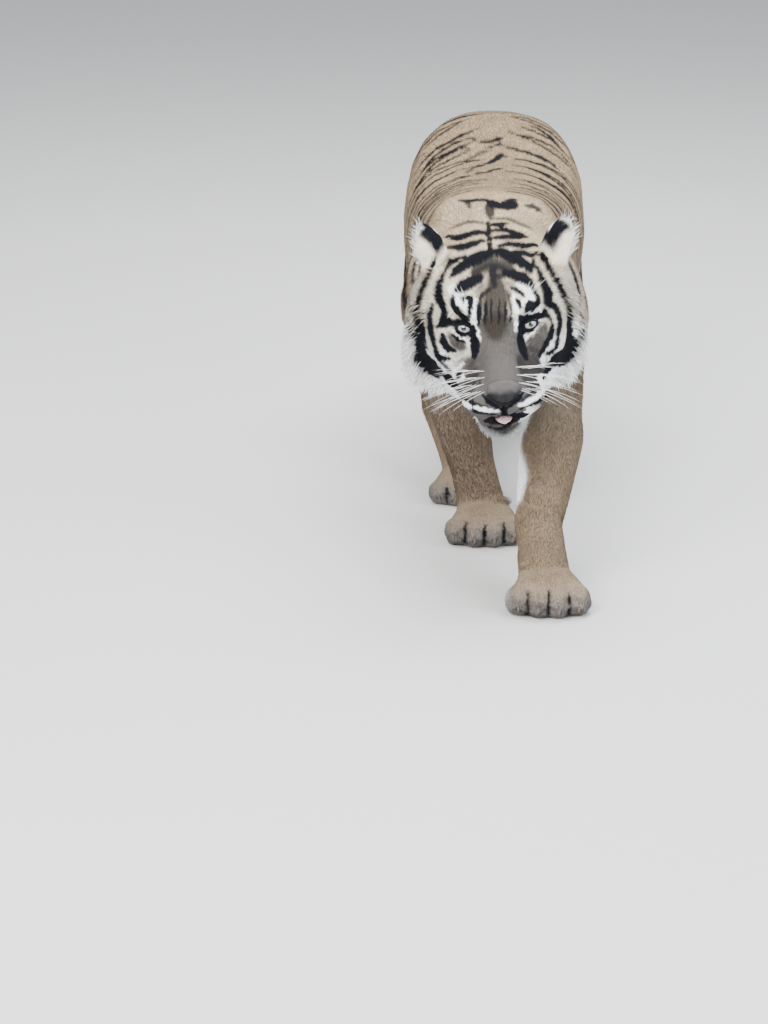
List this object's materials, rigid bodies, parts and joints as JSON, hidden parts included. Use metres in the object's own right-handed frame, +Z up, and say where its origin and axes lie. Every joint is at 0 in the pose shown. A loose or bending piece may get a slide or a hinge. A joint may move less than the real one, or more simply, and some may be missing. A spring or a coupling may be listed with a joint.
{
  "type": "tiger model",
  "caption": "Still life-size model of a walking tiger with its head low, one forefoot planted in front and the tail hanging behind.",
  "frame": {"origin": "on the floor, under the middle of the box round the whole tiger, the tail included", "axes": "+Z up; the tiger faces -Y and its left side is at +X"},
  "size_m": [0.3542, 1.9082, 0.638],
  "materials": {
    "coat": "striped fur",
    "ear_coat": "short black fur with a white spot",
    "nose_leather": "bare pebbled skin",
    "tongue": "moist",
    "eye": "glossy",
    "claw": "smooth horn"
  },
  "bodies": {
    "root": {"ear_left": "ear_coat", "ear_right": "ear_coat", "eye_left": "eye", "eye_right": "eye", "fore_claw_left_1": "claw", "fore_claw_left_2": "claw", "fore_claw_left_3": "claw", "fore_claw_left_4": "claw", "fore_claw_left_5": "claw", "fore_claw_right_1": "claw", "fore_claw_right_2": "claw", "fore_claw_right_3": "claw", "fore_claw_right_4": "claw", "fore_claw_right_5": "claw", "fore_paw_left": "coat", "fore_paw_right": "coat", "forearm_left": "coat", "forearm_right": "coat", "head": "coat", "hind_claw_left_1": "claw", "hind_claw_left_2": "claw", "hind_claw_left_3": "claw", "hind_claw_left_4": "claw", "hind_claw_right_1": "claw", "hind_claw_right_2": "claw", "hind_claw_right_3": "claw", "hind_claw_right_4": "claw", "hind_foot_left": "coat", "hind_foot_right": "coat", "hind_paw_left": "coat", "hind_paw_right": "coat", "lower_jaw": "coat", "neck": "coat", "nose": "nose_leather", "shank_left": "coat", "shank_right": "coat", "tail_base": "coat", "tail_middle": "coat", "tail_tip": "coat", "thigh_left": "coat", "thigh_right": "coat", "tongue": "tongue", "trunk": "coat", "upper_arm_left": "coat", "upper_arm_right": "coat"}
  },
  "joints": []
}
